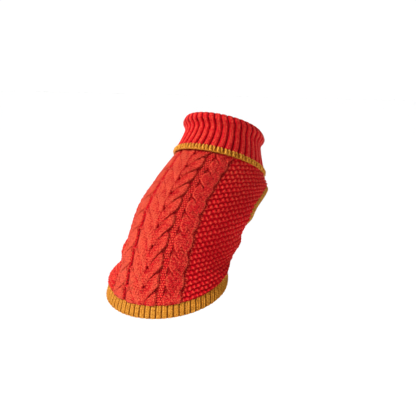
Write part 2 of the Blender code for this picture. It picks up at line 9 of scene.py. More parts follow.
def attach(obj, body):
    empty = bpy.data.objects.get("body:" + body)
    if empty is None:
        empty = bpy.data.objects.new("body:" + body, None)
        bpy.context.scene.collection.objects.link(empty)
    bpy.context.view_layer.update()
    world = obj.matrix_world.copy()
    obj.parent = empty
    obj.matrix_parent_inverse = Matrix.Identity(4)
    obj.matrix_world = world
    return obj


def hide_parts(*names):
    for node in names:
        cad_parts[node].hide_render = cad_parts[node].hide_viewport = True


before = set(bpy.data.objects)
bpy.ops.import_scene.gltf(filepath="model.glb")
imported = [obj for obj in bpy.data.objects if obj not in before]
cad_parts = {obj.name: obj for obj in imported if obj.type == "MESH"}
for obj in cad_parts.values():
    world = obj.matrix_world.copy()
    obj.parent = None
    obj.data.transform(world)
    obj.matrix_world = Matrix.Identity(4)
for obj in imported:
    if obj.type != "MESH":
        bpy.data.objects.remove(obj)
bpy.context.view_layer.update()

print("frame loaded")


# the worn form, in metres and degrees: angles run round from the spine, the right side first,
# and stations run down from the neck seam
# rows of a ring table: place, back y, back z, belly y, belly z, half width

body = {
    "rings": (
        (0.000, 0.0107, 0.0149, 0.0930, -0.0230, 0.0428),  # neck seam
        (0.018, -0.0016, 0.0017, 0.1015, -0.0375, 0.0484),  # withers
        (0.057, -0.0317, -0.0233, 0.0969, -0.0557, 0.0574),  # shoulders
        (0.101, -0.0623, -0.0546, 0.0605, -0.0686, 0.0603),  # ribcage
        (0.165, -0.0923, -0.1109, 0.0302, -0.0963, 0.0596),  # waist
        (0.220, -0.1069, -0.1634, -0.0058, -0.1150, 0.0717),  # hem
    ),
    # angle from, angle to, station from, station to, half width, height
    "folds": (
        (-22.0, -112.0, 0.158, 0.153, 0.0090, 0.0030),  # left waist roll
        (-26.0, -116.0, 0.177, 0.172, 0.0070, -0.0018),  # left waist crease
        (-36.0, -128.0, 0.196, 0.197, 0.0130, 0.0046),  # left thigh swell
        (84.0, 160.0, 0.040, 0.036, 0.0150, 0.0022),  # right shoulder swell
        (-84.0, -160.0, 0.040, 0.036, 0.0150, 0.0020),  # left shoulder swell
        (72.0, 158.0, 0.100, 0.112, 0.0230, 0.0034),  # right rib swell
        (-78.0, -158.0, 0.104, 0.116, 0.0220, 0.0026),  # left rib swell
        (70.0, 156.0, 0.152, 0.160, 0.0120, 0.0032),  # right waist roll
        (64.0, 134.0, 0.171, 0.184, 0.0080, -0.0016),  # right flank crease
        (56.0, 112.0, 0.184, 0.197, 0.0070, 0.0018),  # right flank pull
        (84.0, 144.0, 0.203, 0.203, 0.0080, -0.0022),  # right flank notch
        (138.0, 214.0, 0.160, 0.163, 0.0100, -0.0026),  # belly fold
        (150.0, 222.0, 0.040, 0.034, 0.0090, -0.0014),  # chest fold
    ),
    "foldTaper": 1.5,    # a fold runs out thinner above 1
    "length": 0.220,
    "wall": 0.0024,
    "hemHeights": (0.0138, 0.0095),    # of the rib, at the spine and under the belly
    "sideSeam": 131.0,
    "holeSpan": (0.030, 0.136),
    "holeBack": 106.0, "holeFront": 152.0,    # the leg holes' edges where they are widest
    "holeBlunt": 0.62,    # 0.5 is an ellipse, and more is pointed
    "steep": (0.30, 0.65),    # facings between which the outward step turns to the normal
    "arcSteps": 360,
}


def smoothRamp(x):
    x = np.clip(x, 0, 1)
    return x * x * (3 - 2 * x)


def rise(x, span):
    # 0 before the span, 1 past it and smooth between
    return smoothRamp((x - span[0]) / (span[1] - span[0]))


def ramped(x, ramp):
    # a ramp is an amount and its span
    amount, *span = ramp
    return amount * rise(x, span)


def falling(x, ramp):
    return ramp[0] - ramped(x, ramp)


def ridge(x, middle, width):
    return np.exp(-((x - middle) / width) ** 2)


def dome(x, middle, reach):
    return np.clip(1 - ((x - middle) / reach) ** 2, 0, 1)


def upFrom(least, share):
    # the least value at no share, and 1 at a full one
    return least + (1 - least) * share


def through(knots, values, x):
    # cubic whose slope at each knot follows its neighbours
    knots, values, x = (np.asarray(a, dtype=float) for a in (knots, values, x))
    chords = np.diff(values) / np.diff(knots)
    slopes = np.empty_like(values)
    slopes[1:-1] = (values[2:] - values[:-2]) / (knots[2:] - knots[:-2])
    slopes[0] = 1.5 * chords[0] - 0.5 * slopes[1]
    slopes[-1] = 1.5 * chords[-1] - 0.5 * slopes[-2]
    i = np.clip(np.searchsorted(knots, x) - 1, 0, len(knots) - 2)
    span = knots[i + 1] - knots[i]
    t = (x - knots[i]) / span
    return ((2 * t**3 - 3 * t**2 + 1) * values[i] + (t**3 - 2 * t**2 + t) * span * slopes[i]
            + (3 * t**2 - 2 * t**3) * values[i + 1] + (t**3 - t**2) * span * slopes[i + 1])


def unit(v):
    return v / np.maximum(np.linalg.norm(v, axis=-1, keepdims=True), 1e-12)


def ringSizes(rings, place):
    knots = [ring[0] for ring in rings]
    return [through(knots, [ring[k] for ring in rings], place) for k in range(1, 6)]


def ringPoint(rings, angle, place):
    backY, backZ, bellyY, bellyZ, halfWidth = ringSizes(rings, place)
    c = np.cos(angle)
    x = halfWidth * np.sin(angle)
    y = (backY + bellyY) / 2 + (backY - bellyY) / 2 * c
    z = (backZ + bellyZ) / 2 + (backZ - bellyZ) / 2 * c
    return np.stack(np.broadcast_arrays(x, y, z), axis=-1)


def ringSlopes(rings, angle, place):
    # how the face runs along the body and round it
    turn = 1e-3
    step = 1e-3 * (rings[-1][0] - rings[0][0])
    low = np.maximum(place - step, rings[0][0])
    high = np.minimum(place + step, rings[-1][0])
    around = ringPoint(rings, angle + turn, place) - ringPoint(rings, angle - turn, place)
    along = ringPoint(rings, angle, high) - ringPoint(rings, angle, low)
    return along / (high - low)[..., None], around / (2 * turn)


def ringNormal(rings, angle, place):
    along, around = ringSlopes(rings, angle, np.asarray(place, dtype=float))
    return unit(np.cross(along, around))


def bodyLift(angle, station):
    # outward step in the ring's own plane, turning to the normal where the face is steep to it
    backY, backZ, bellyY, bellyZ, halfWidth = ringSizes(body["rings"], station)
    dy, dz = (backY - bellyY) / 2, (backZ - bellyZ) / 2
    half = np.hypot(dy, dz)
    k = halfWidth * np.cos(angle) / half
    inPlane = unit(np.stack([half * np.sin(angle), k * dy, k * dz], axis=-1))
    normal = ringNormal(body["rings"], angle, station)
    facing = np.sum(inPlane * normal, axis=-1, keepdims=True)
    steep, flat = body["steep"]
    step = unit(normal + (inPlane - normal) * np.clip((facing - steep) / (flat - steep), 0, 1))
    return step / np.sum(step * normal, axis=-1, keepdims=True)


def foldHeight(angle, station):
    lift = np.zeros(np.broadcast(angle, station).shape)
    degrees = np.degrees(angle)
    for angleA, angleB, stationA, stationB, halfWidth, height in body["folds"]:
        for turn in (-360.0, 0.0, 360.0):
            share = (degrees + turn - angleA) / (angleB - angleA)
            line = stationA + (stationB - stationA) * share
            lift += height * dome(share, 0.5, 0.5) ** body["foldTaper"] * ridge(station, line, halfWidth)
    return lift


def bodyFace(angle, station):
    # points of the knit's foot, and the outward step there
    angle, station = np.broadcast_arrays(angle, np.asarray(station, dtype=float))
    lift = bodyLift(angle, station)
    point = ringPoint(body["rings"], angle, station)
    return point + lift * foldHeight(angle, station)[..., None], lift


def arcTable(station):
    # distances from the spine round one ring
    angles = np.linspace(0, np.pi, body["arcSteps"] + 1)
    points = ringPoint(body["rings"], angles, station)
    steps = np.linalg.norm(np.diff(points, axis=0), axis=1)
    return angles, np.concatenate([[0.0], np.cumsum(steps)])


def hemStation(angle):
    # where the panels end and the hem rib starts
    toBelly = (1 - np.cos(angle)) / 2
    atSpine, atBelly = body["hemHeights"]
    height = atSpine + (atBelly - atSpine) * toBelly
    place = np.full(np.shape(angle), body["length"] - atSpine)
    along, around = ringSlopes(body["rings"], angle, place)
    side = unit(around)
    across = along - np.sum(along * side, axis=-1, keepdims=True) * side
    return body["length"] - height / np.linalg.norm(across, axis=-1)


def panelEdge(station, hole):
    # the side seam, cut back to one side of the leg hole
    first, last = body["holeSpan"]
    share = dome(station, (first + last) / 2, (last - first) / 2) ** body["holeBlunt"]
    return np.radians(body["sideSeam"] + (body[hole] - body["sideSeam"]) * share)


def seamEnd():
    return float(hemStation(np.radians(body["sideSeam"])))


def bodyStations(count):
    return np.linspace(0, seamEnd(), count)


def stretchToHem(stations, angle):
    # below the leg holes the rows spread or crowd, so that the last one follows the hem rib
    holeEnd = body["holeSpan"][1]
    share = np.clip((stations - holeEnd) / (seamEnd() - holeEnd), 0, 1)
    return stations + (hemStation(angle) - seamEnd()) * share


# cloth walls

cloth = {
    "stitchWidth": 0.0026,
    "rowHeight": 0.00258,    # eight rows to a cable pitch
    "purlSize": (0.5, 0.42),    # half width and half height of a purl bump, in stitches
    "insideTone": 0.35,    # the inside is dull, and purl all over
    "mergeWithin": 1e-6,
}


def layGrid(bm, points):
    rows, columns = points.shape[:2]
    made = bmesh.ops.create_grid(bm, x_segments=columns - 1, y_segments=rows - 1, size=1)["verts"]
    for vert, place in zip(made, points.reshape(-1, 3)):
        vert.co = place
    return [made[r * columns:(r + 1) * columns] for r in range(rows)]


def edgesAmong(bm, verts):
    wanted = set(verts)
    return [e for e in bm.edges if e.is_boundary and e.verts[0] in wanted and e.verts[1] in wanted]


def clothPiece(name, bm, sheets, closed, material, node):
    # stitch coordinates on the faces, the yarn's values on the points, then the piece
    bm.verts.index_update()
    maps = {key: np.concatenate([sheet[key].ravel() for sheet in sheets]).tolist()
            for key in ("u", "v", "tone", "purl", "fine")}
    stitch = bm.loops.layers.uv.new("stitch")
    for face in bm.faces:
        face.smooth = True
        for loop in face.loops:
            i = loop.vert.index
            loop[stitch].uv = (maps["u"][i], maps["v"][i])
    for key in ("tone", "purl", "fine"):
        layer = bm.verts.layers.float.new(key)
        for vert in bm.verts:
            vert[layer] = maps[key][vert.index]
    if closed:
        bmesh.ops.remove_doubles(bm, verts=bm.verts[:], dist=cloth["mergeWithin"])
    bmesh.ops.recalc_face_normals(bm, faces=bm.faces[:])
    mesh = bpy.data.meshes.new(name)
    bm.to_mesh(mesh)
    bm.free()
    mesh.materials.append(material)
    piece = bpy.data.objects.new(name, mesh)
    bpy.context.scene.collection.objects.link(piece)
    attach(piece, "root")
    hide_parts(node)
    print(name, "triangles", sum(len(p.vertices) - 2 for p in mesh.polygons))
    return piece


def wall(name, face, inside, closed, material, node):
    # a fine outer sheet and a coarse inner one, joined round their edges
    bm = bmesh.new()
    top = layGrid(bm, face["points"])
    under = layGrid(bm, inside["points"])
    if closed:
        for k in (0, -1):
            bmesh.ops.bridge_loops(bm, edges=edgesAmong(bm, top[k] + under[k]))
    else:
        bmesh.ops.bridge_loops(bm, edges=[e for e in bm.edges if e.is_boundary])
    return clothPiece(name, bm, (face, inside), closed, material, node)


def plainSheet(points, u, v):
    points = np.array(points)
    shape = points.shape[:2]
    return {"points": points, "u": np.broadcast_to(u, shape), "v": np.broadcast_to(v, shape),
            "tone": np.full(shape, cloth["insideTone"]), "purl": np.ones(shape), "fine": np.ones(shape)}


def panelInside(face, lift, u, v, step):
    # every few points of the knit's foot, set in by the wall
    pick = np.ix_(*(np.unique(np.append(np.arange(0, count, step), count - 1)) for count in face.shape[:2]))
    return plainSheet(face[pick] - lift[pick] * body["wall"], u[pick], v[pick])


# yarn

yarnLooks = {
    # from darkest to top: the two darkest colours are painted shade for the yarn's hollows, the orange top
    # is a painted highlight, and body is the yarn's own colour
    "redKnit": {
        "shadedPit": (0.17, 0.0001, 0.0040), "shadedDeep": (0.50, 0.0002, 0.0072),
        "body": (0.69, 0.003, 0.013), "top": (0.89, 0.100, 0.050),
        "rough": 0.55, "gloss": 0.12, "glossTint": (1.0, 0.48, 0.34),
        "nap": 0.03, "napTint": (1.0, 0.34, 0.20),
    },
    "mustardKnit": {
        "shadedPit": (0.13, 0.030, 0.001), "shadedDeep": (0.30, 0.080, 0.002),
        "body": (0.57, 0.19, 0.008), "top": (0.84, 0.37, 0.045),
        "rough": 0.62, "gloss": 0.35, "glossTint": (1.0, 0.70, 0.35),
        "nap": 0.05, "napTint": (1.0, 0.70, 0.35),
    },
}
stitchLook = {
    "stops": {"shadedPit": 0.0, "shadedDeep": 0.13, "body": 0.5, "top": 0.95},    # levels of the yarn's four colours: the lower two are painted shade, the top one a painted highlight
    "legSlant": 1.1,    # rows that a leg climbs over one stitch
    "legMiddle": 0.25, "legWide": 0.27, "legHigh": 0.55,    # in stitches, the last two as half sizes
    "smoothLevel": 0.6,    # where the stitches don't show
    "plyTurns": 2.0, "plyLean": 0.35, "plyRelief": 0.08, "fullTurn": 6.2832,
    "depth": 0.0015, "fuzzDepth": 0.0005,
    "toneShare": 0.50,    # the rest of the colour's level comes from the stitches, as painted shade between the legs
    # scale and detail of the loose fibres, the grain and the uneven dye, and what they add to the level
    "fuzz": (800.0, 4.0), "grain": (400.0, 1.0), "dye": (38.0, 3.0),
    "fuzzTone": 1.35, "grainTone": 0.8, "dyeTone": 0.22,
    "speckle": (0.25, 0.75),    # share of fuzz and grain on smooth yarn, and what full stitches add
    "napRough": 0.5,
}


def yarn(name):
    look, form = yarnLooks[name], stitchLook
    material = bpy.data.materials.new(name)
    material.use_nodes = True
    nodes, links = material.node_tree.nodes, material.node_tree.links
    shader = nodes["Principled BSDF"]
    coords = nodes.new("ShaderNodeTexCoord")

    def feed(socket, value):
        if isinstance(value, (int, float)):
            socket.default_value = value
        else:
            links.new(value, socket)

    def calc(kind, a, b=0.0, c=0.0):
        node = nodes.new("ShaderNodeMath")
        node.operation = kind
        for socket, value in zip(node.inputs, (a, b, c)):
            feed(socket, value)
        return node.outputs[0]

    def roundTop(x, y):
        # height of a half ball over the squares of x and y
        return calc("SQRT", calc("MAXIMUM", calc("SUBTRACT", 1.0, calc("ADD", x, y)), 0.0))

    def centred(x, by):
        return calc("MULTIPLY", calc("SUBTRACT", x, 0.5), by)

    def blend(share, a, b):
        node = nodes.new("ShaderNodeMix")
        for socket, value in zip((node.inputs[0], node.inputs[2], node.inputs[3]), (share, a, b)):
            feed(socket, value)
        return node.outputs[0]

    def attribute(key):
        node = nodes.new("ShaderNodeAttribute")
        node.attribute_name = key
        return node.outputs["Fac"]

    def noise(kind):
        node = nodes.new("ShaderNodeTexNoise")
        node.inputs["Scale"].default_value, node.inputs["Detail"].default_value = form[kind]
        links.new(coords.outputs["Object"], node.inputs["Vector"])
        return node.outputs["Fac"]

    def raised(height, depth):
        node = nodes.new("ShaderNodeBump")
        node.inputs["Distance"].default_value = depth
        node.inputs["Strength"].default_value = 1.0
        links.new(height, node.inputs["Height"])
        return node

    uvMap = nodes.new("ShaderNodeUVMap")
    uvMap.uv_map = "stitch"
    split = nodes.new("ShaderNodeSeparateXYZ")
    links.new(uvMap.outputs["UV"], split.inputs[0])
    u, v = split.outputs[0], split.outputs[1]
    tone, purl, fine = attribute("tone"), attribute("purl"), attribute("fine")

    # knit face: two slanted legs to each stitch
    leg = calc("ABSOLUTE", calc("SUBTRACT", calc("FRACT", u), 0.5))
    climb = calc("MULTIPLY_ADD", leg, form["legSlant"], v)
    y = calc("SUBTRACT", calc("FRACT", climb), 0.5)
    x = calc("DIVIDE", calc("SUBTRACT", leg, form["legMiddle"]), form["legWide"])
    ySquare = calc("POWER", calc("DIVIDE", calc("ABSOLUTE", y), form["legHigh"]), 2.0)
    legs = roundTop(calc("MULTIPLY", x, x), ySquare)
    # purl face: staggered half rings
    shifted = calc("FRACT", calc("MULTIPLY_ADD", calc("FLOOR", v), 0.5, calc("ADD", u, 0.5)))
    across = calc("DIVIDE", calc("SUBTRACT", shifted, 0.5), cloth["purlSize"][0])
    down = calc("DIVIDE", calc("SUBTRACT", calc("FRACT", v), 0.5), cloth["purlSize"][1])
    bars = roundTop(calc("MULTIPLY", across, across), calc("MULTIPLY", down, down))
    stitch = blend(fine, form["smoothLevel"], blend(purl, legs, bars))
    # twist of the plies, and the loose fibres
    twist = calc("ADD", calc("MULTIPLY", climb, form["plyTurns"]), calc("MULTIPLY", x, form["plyLean"]))
    ply = calc("SINE", calc("MULTIPLY", twist, form["fullTurn"]))
    fuzz, grain, dye = noise("fuzz"), noise("grain"), noise("dye")

    low = raised(calc("ADD", stitch, calc("MULTIPLY", ply, form["plyRelief"])), form["depth"])
    high = raised(fuzz, form["fuzzDepth"])
    links.new(low.outputs["Normal"], high.inputs["Normal"])
    links.new(high.outputs["Normal"], shader.inputs["Normal"])

    # the colour's level is painted shade and highlight from the tone and the stitch heights, with random
    # fuzz, grain and dye on top
    share = form["toneShare"]
    shadeAndDyeLevel = calc("MULTIPLY_ADD", tone, share, calc("MULTIPLY", stitch, 1 - share))
    speckle = calc("ADD", centred(fuzz, form["fuzzTone"]), centred(grain, form["grainTone"]))
    smoothShare, stitchShare = form["speckle"]
    shadeAndDyeLevel = calc("MULTIPLY_ADD", speckle, calc("MULTIPLY_ADD", fine, stitchShare, smoothShare), shadeAndDyeLevel)
    shadeAndDyeLevel = calc("ADD", shadeAndDyeLevel, centred(dye, form["dyeTone"]))
    colour = nodes.new("ShaderNodeValToRGB")
    stops = colour.color_ramp.elements
    for stop, key in zip(stops, ("shadedPit", "top")):
        stop.position, stop.color = form["stops"][key], (*look[key], 1)
    for key in ("shadedDeep", "body"):
        stops.new(form["stops"][key]).color = (*look[key], 1)
    links.new(shadeAndDyeLevel, colour.inputs[0])
    links.new(colour.outputs[0], shader.inputs["Base Color"])
    shader.inputs["Roughness"].default_value = look["rough"]
    shader.inputs["Specular IOR Level"].default_value = look["gloss"]
    shader.inputs["Specular Tint"].default_value = (*look["glossTint"], 1)
    shader.inputs["Sheen Weight"].default_value = look["nap"]
    shader.inputs["Sheen Roughness"].default_value = form["napRough"]
    shader.inputs["Sheen Tint"].default_value = (*look["napTint"], 1)
    return material


redKnit = yarn("redKnit")
mustardKnit = yarn("mustardKnit")
print("yarns mixed")


# back panel
# a span holds the places where something starts and ends, a middle comes with its width
# tones are painted shade and highlight: 0 in the pits and 1 on top

backLook = {
    "cableColumns": 64, "sideColumns": 100, "rows": 279,
    "coarse": 5,    # points of the outer sheet to one of the inner
    "flatSize": (0.286, 0.206),
    "pressed": 0.3, "pressedSpan": (0.0, 0.024),    # height left at the neck seam, under the collar
    "hemShare": 0.45, "hemSpan": (0.0, 0.004),    # height left at the hem rib
    "wobble": 0.00035,    # unevenness of the hand-fed rows
    # share of the wobble, waves in radians a metre, phase
    "rowWaves": ((1.0, 310, 1.3), (0.6, 97, 0)),
    "columnWaves": ((1.0, 260, 0), (0.5, 83, 2)),
    # the pattern is drawn in under the collar and out towards the hem
    "drawnIn": (0.0016, 0.040, 0.060), "drawnOut": (0.0045, 0.118, 0.168),
    # channels of purl between the cables, painted darker between the bumps as painted shade
    "purl": {"ground": 0.0007, "bump": 0.0006, "groundTone": 0.44, "bumpTone": 0.34},
    # two rows of horseshoe halves meet at the spine, and a rope runs on each side of them
    "horseshoe": {"isRope": False, "inner": 0.0, "outer": 0.0187, "height": 0.0028,
                  "tone": 0.80, "rimTone": 0.10, "paintedCreaseShade": 0.80},
    "rope": {"isRope": True, "inner": 0.0250, "outer": 0.0446, "height": 0.0024,
             "tone": 0.40, "rimTone": 0.60, "paintedCreaseShade": 1.0},
    "strand": {
        "pitch": 0.0206, "firstHook": 0.0007,
        "round": 0.0022,    # radius of the rolled edge
        "sweep": (0.0132, 0.0292),    # below the head, where the edge sweeps in to the middle
        "tail": (0.0265, 0.0412), "tailShare": 0.36,    # where a horseshoe's strand runs on to the spine
        "corner": 0.0052, "cornerFrom": 0.68,    # how far the head's outer corner is rounded off
        "headRound": 0.0015, "headLow": (0.20, 0.0, 0.0060),    # a head comes up slowly
        "hookRound": 0.0013, "hookSoft": (0.0045, 0.0050, 0.0110),    # of the edge over the next head
        "middleDip": (0.40, 0.0042, 0.0102),    # a horseshoe is lower in from its edge
        "rim": (0.0012, 0.0007),    # a painted highlight along a line inside an edge
        "rowSlant": 0.25,
        "crease": 0.60, "creaseWidth": 0.0009,    # where a head comes up, weaker below it; it lowers the head and is painted dark as painted shade
        "creaseFade": (0.88, 0.0030, 0.0085), "creaseBack": (0.20, 0.0120, 0.0180),
        "middleShade": (0.30, 0.0062, 0.0102),    # painted shade in the middle between the strands
        "litFrom": 0.30, "litBy": 1.15,    # painted shade from foot to top, lighter with height
    },
    "twist": {
        "pinch": 0.0022, "pinchAt": 0.0020, "round": 0.0016,    # a rope is drawn in once a pitch
        "hookHighlight": (0.0022, 0.0008), "hookHighlightSpan": (0.0050, 0.0100),
        "diveAt": 0.0066, "diveWidth": 0.0009,    # where one strand dives under the other
        "diveReach": (0.0006, 0.0052), "diveDepth": 0.42,
        "diveHighlight": (0.0016, 0.0007), "diveHighlightReach": (0.0, 0.0060),
    },
    # the left half is pulled flatter, and its sunken places are nearly full; its cables and filled places
    # are painted lighter as painted light, with weaker painted crease shade
    "left": {"crease": 0.60, "tone": 1.22, "fill": 0.0012, "fillShare": 0.3, "fillTone": (0.72, 0.2)},
    # a broken groove between horseshoe and rope on the left, painted dark as painted shade
    "parting": {
        "depth": 0.0028, "tone": -1.0,
        "line": 0.0226,    # from the spine, and further out at its head and foot
        "headOut": (0.0024, 0.0, 0.0080), "footOut": (0.0011, 0.0165, 0.0205),
        "opens": (-0.0002, 0.0028), "closes": (0.0, 0.0016),
        "outerReach": 0.0011, "innerReach": 0.0024,
        "neckShare": 0.42, "growSpan": (0.085, 0.145),    # weaker towards the neck
        "smooths": 0.85,
    },
    "moss": {
        "from": 0.0462,    # distance from the spine
        "pitch": 0.00475, "row": 0.00944, "crowd": 1.616,    # the rows crowd further down
        "first": (0.15, 0.07),    # where the first bead lies, in pitches and rows
        "lean": 0.40, "leanFade": (1.6, 0.108), "leanLeast": 0.2,    # the rows climb towards the belly
        "stray": 0.07, "strayWaves": ((0.9, 2.3), (2.9, -1.3)),
        "height": 0.0021, "uneven": 0.10, "unevenWave": (5.1, 3.7),
        "bead": (0.36, 0.48, -0.58),    # half width, half height and slant, in pitches and rows
        # share, shift to the spine, shift up, then as for the bead
        "arms": ((0.68, 0.42, -0.14, 0.36, 0.19, -0.3), (0.476, 0.30, 0.30, 0.30, 0.13, 0.5)),
        "tone": (-0.24, 1.10), "leftLitTone": (0.45, 0.60),    # of the ground, and what a bead adds: the dark ground is painted shade, and the left half is painted lighter with less of it as painted light
        "neckTone": (0.14, 0.050, 0.100),    # lighter near the neck
        "fine": 0.15, "leftFine": 0.8,    # little is left of the stitches within a bead
        "narrower": 1.1,    # the stitches are drawn together
    },
    # a hole beside the spine at each crossing, under a short slit and over a dimple, all painted dark as
    # painted shade
    "hole": {
        "depth": 0.0032, "tone": -0.9, "across": 0.0024, "above": 0.0034,
        "wide": 0.0007, "high": 0.0017, "lean": 0.22,
        "slit": 0.62, "slitLength": 0.0125, "slitWidth": 0.0005, "slitLean": 0.18,
        "slitSpan": (0.0, 0.0060), "slitFade": (0.40, 0.105, 0.145),
        "dimple": 0.32, "dimpleAcross": (0.0009, 0.0007), "dimpleDown": (0.0056, 0.0018),
    },
}


def shoulder(x):
    # quarter round: 0 at the foot, 1 from x = 1 on
    return np.sqrt(1 - (1 - np.clip(x, 0, 1)) ** 2)


def bump(u, v, wide, high, slant=0, stagger=0):
    # a round bump in each cell, every other row shifted by the stagger
    row = np.floor(v)
    down = v - row - 0.5
    across = u + stagger * (row % 2)
    across = across - np.round(across) + slant * down
    return np.sqrt(np.clip(1 - (across / wide) ** 2 - (down / high) ** 2, 0, 1))


def wavered(place, along, waves):
    for share, rate, phase in waves:
        place = place + share * backLook["wobble"] * np.sin(along * rate + phase)
    return place


def pulled(station):
    look = backLook
    return station - falling(station, look["drawnIn"]) - ramped(station, look["drawnOut"])


def strandEdge(v, width, isRope):
    # outer edge of a strand, v below its head: straight, then sweeping in to the middle
    form = backLook["strand"]
    sweepStart, sweepEnd = form["sweep"]
    tailStart, tailEnd = form["tail"]
    tail = 0.0 if isRope else form["tailShare"] * width
    q = np.clip((v - sweepStart) / (sweepEnd - sweepStart), 0, 1)
    run = np.clip((v - tailStart) / (tailEnd - tailStart), 0, 1)
    edge = width * (1 - smoothRamp(q) / 2) - tail * run
    slope = width * 3 * q * (1 - q) / (sweepEnd - sweepStart)
    slope = slope + tail / (tailEnd - tailStart) * ((run > 0) & (run < 1))
    return edge, 1 / np.sqrt(1 + slope * slope)


def ropeTwist(x, v, slack, height, rim):
    # pinched at the smooth side, with one strand diving under the other in a slanted groove, and painted
    # highlights along the pinch and the dive
    form, strand = backLook["twist"], backLook["strand"]
    beat = 0.5 + 0.5 * np.cos((v - form["pinchAt"]) / strand["pitch"] * 2 * np.pi)
    pinch = form["pinch"] * slack * beat ** 3
    height = height * shoulder((x - pinch) / form["round"])
    rim = np.maximum(rim, ridge(x - pinch, *strand["rim"]))
    w = v - strand["pitch"] * (v > strand["pitch"] / 2)
    line = x - form["diveAt"] + w
    dive = ridge(line, 0, form["diveWidth"]) * dome(w, *form["diveReach"])
    height = height * (1 - form["diveDepth"] * slack * dive)
    rim = np.maximum(rim, ridge(line, *form["diveHighlight"]) * dome(w, *form["diveHighlightReach"]))
    return height, rim


def cable(x, down, width, isRope, slack):
    # height, painted highlight, painted shade, stitch u and v, with x from the smooth side to the side of
    # the heads
    form, twist = backLook["strand"], backLook["twist"]
    v = (down - form["firstHook"]) % form["pitch"]
    edge, lean = strandEdge(v, width, isRope)
    overEdge, overLean = strandEdge(v + form["pitch"], width, isRope)
    past = np.clip((x - overEdge) * overLean, 0, None)
    fade = 1 - ramped(v, form["creaseFade"]) + ramped(v, form["creaseBack"])
    shade = slack * ridge(past, 0, form["creaseWidth"]) * fade
    corner = form["corner"] * np.clip((x / width - form["cornerFrom"]) / (1 - form["cornerFrom"]), 0, 1) ** 2
    head = shoulder((edge - x) * lean / form["round"]) * shoulder((v - corner) / form["headRound"])
    head = head * (1 - slack * falling(v, form["headLow"])) * (1 - form["crease"] * shade)
    over = shoulder((overEdge - x) * overLean / (form["hookRound"] + ramped(v, form["hookSoft"])))
    if not isRope:
        # a strand stands proud along its edge, and the middle lies lower
        head = head * (1 - ramped(edge - x, form["middleDip"]))
        over = over * (1 - ramped(overEdge - x, form["middleDip"]))
    onHead = head > over
    height = np.maximum(head, over)
    shade = np.where(onHead, shade, 0)
    toEdge = np.where(onHead, edge, overEdge) - x
    rim = ridge((edge - x) * lean, *form["rim"]) * (v > corner)
    if isRope:
        hookHighlight = onHead * ridge(past, *twist["hookHighlight"]) * (1 - rise(v, twist["hookHighlightSpan"]))
        height, rim = ropeTwist(x, v, slack, height, np.maximum(rim, hookHighlight))
    else:
        # the middle between the strands gets painted shade
        shade = np.maximum(shade, ramped(toEdge, form["middleShade"]))
    along = (down + form["rowSlant"] * (x - width)) / cloth["rowHeight"]
    return height, rim, shade, toEdge / cloth["stitchWidth"], along


def paste(relief, mask, **values):
    for key, value in values.items():
        relief[key] = np.where(mask, value, relief[key])


def sinkIn(relief, share, form):
    # lowers the knit and darkens it as painted shade
    relief["height"] = relief["height"] - form["depth"] * share
    relief["tone"] = relief["tone"] * (1 - share) + form["tone"] * share


def layCable(relief, form, d, rows, onLeft):
    left, strand = backLook["left"], backLook["strand"]
    width = form["outer"] - form["inner"]
    x = form["outer"] - d if form["isRope"] else d - form["inner"]
    inside = (x >= -cloth["mergeWithin"]) & (x <= width)
    slack = np.where(onLeft, left["crease"], 1.0)
    h, rim, shade, across, along = cable(np.clip(x, 0, width), rows, width, form["isRope"], slack)
    # the tone rises with height as painted shade, with painted highlights along the edges and painted shade
    # in the creases; the left half is painted lighter as painted light
    full = np.where(onLeft, left["tone"], form["tone"])
    lit = upFrom(strand["litFrom"], smoothRamp(h * strand["litBy"])) * full + form["rimTone"] * rim
    paste(relief, inside, height=form["height"] * h, tone=lit * (1 - form["paintedCreaseShade"] * shade),
          purl=0.0, u=across, v=along)


def fillLeft(relief, d, onLeft):
    form = backLook["left"]
    tone, toneShare = form["fillTone"]
    filled = onLeft & (d < backLook["rope"]["outer"]) & (relief["height"] < form["fill"])
    paste(relief, filled, height=form["fill"] + form["fillShare"] * relief["height"],
          tone=tone + toneShare * relief["tone"])


def partLeft(relief, d, station, rows, onLeft):
    form, strand = backLook["parting"], backLook["strand"]
    t = (rows - strand["firstHook"]) % strand["pitch"]
    line = form["line"] + falling(t, form["headOut"]) + ramped(t, form["footOut"])
    broken = rise(t, form["opens"]) * rise(strand["pitch"] - t, form["closes"])
    groove = ridge(d, line, np.where(d > line, form["outerReach"], form["innerReach"]))
    share = onLeft * broken * groove * upFrom(form["neckShare"], rise(station, form["growSpan"]))
    sinkIn(relief, share, form)
    relief["purl"] = relief["purl"] * (1 - share)
    relief["fine"] = relief["fine"] - form["smooths"] * share


def mossBeads(d, station):
    # slanted beads with arms at their feet, and dark pits between them
    form = backLook["moss"]
    fadeStart, fadeLength = form["leanFade"]
    lean = form["lean"] * np.clip(fadeStart - station / fadeLength, form["leanLeast"], 1)
    down = station + lean * (d - form["from"])
    u = (d - form["from"]) / form["pitch"] - form["first"][0]
    v = down / form["row"] * (1 + form["crowd"] * down) - form["first"][1]
    strayU, strayV = (form["stray"] * np.sin(a * u + b * v) for a, b in form["strayWaves"])
    u, v = u + strayU, v + strayV
    height = bump(u, v, *form["bead"])
    for share, shiftU, shiftV, wide, high, slant in form["arms"]:
        height = np.maximum(height, share * bump(u + shiftU, v + shiftV, wide, high, slant))
    waveU, waveV = form["unevenWave"]
    return np.clip(height * (1 + form["uneven"] * np.sin(waveU * u + waveV * v)), 0, 1)


